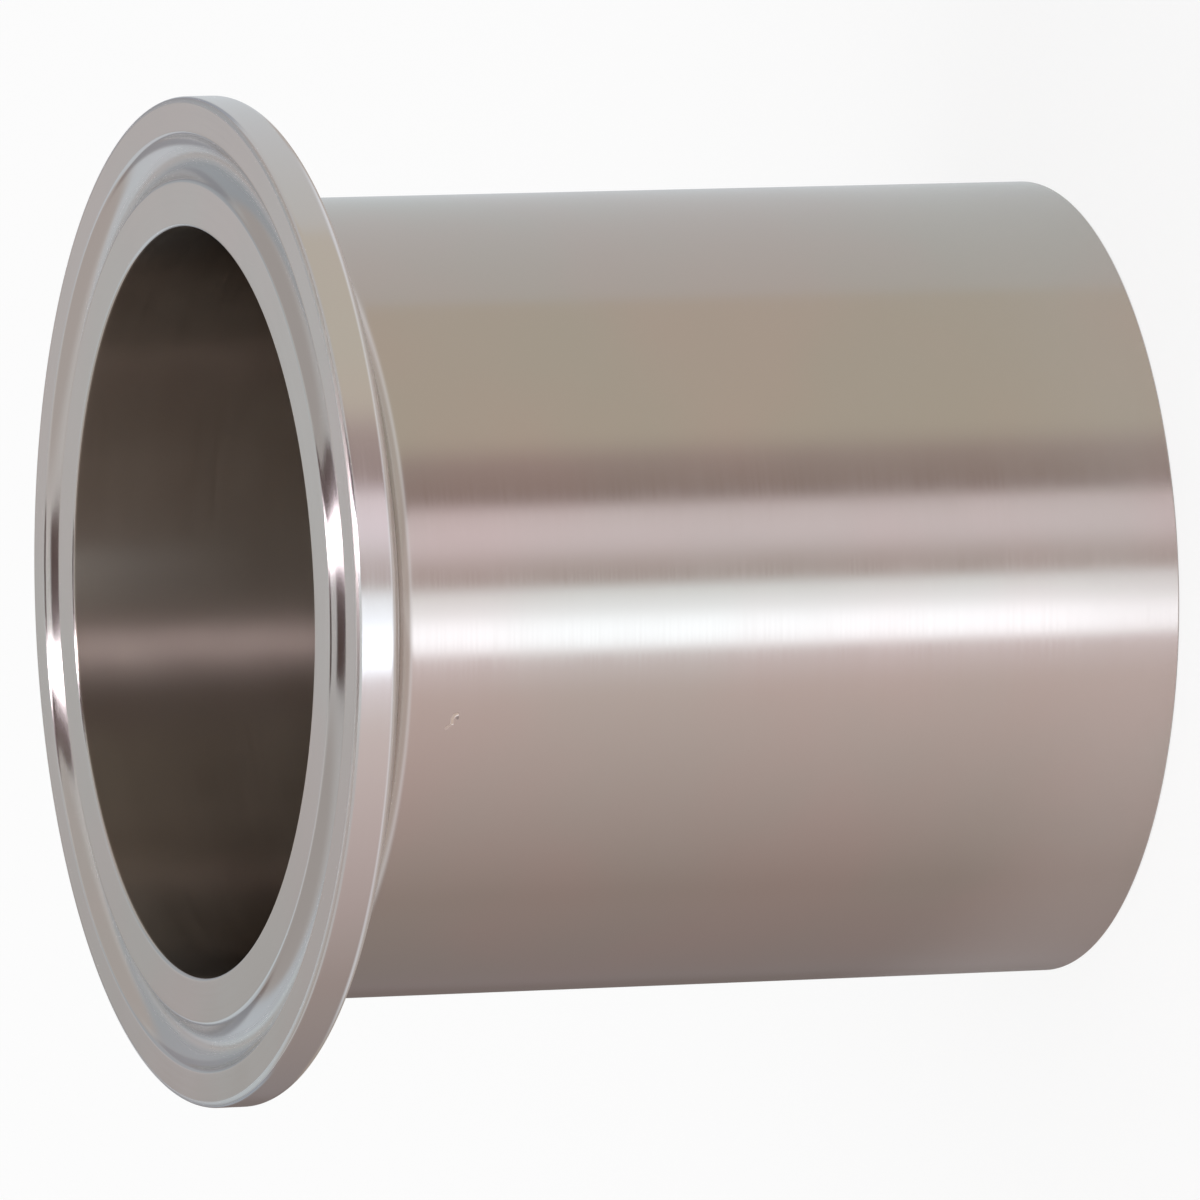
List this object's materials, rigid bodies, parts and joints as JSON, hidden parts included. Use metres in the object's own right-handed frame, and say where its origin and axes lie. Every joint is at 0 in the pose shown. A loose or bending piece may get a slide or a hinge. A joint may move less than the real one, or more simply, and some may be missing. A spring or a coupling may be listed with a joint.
{
  "type": "sanitary weld ferrule",
  "caption": "Round clamp flange with a tapered back flank and a gasket groove, on a thin straight tube with a square weld end.",
  "frame": {"origin": "centre of the weld end, on the bore's axis, where the ferrule stands", "axes": "+Z along the bore's axis, from the weld end up to the sealing face; the ferrule is round, so +X and +Y are free"},
  "size_m": [0.064, 0.064, 0.0571],
  "materials": {
    "polished_steel": "polished"
  },
  "bodies": {
    "root": {"weld_ferrule": "polished_steel"}
  },
  "joints": []
}
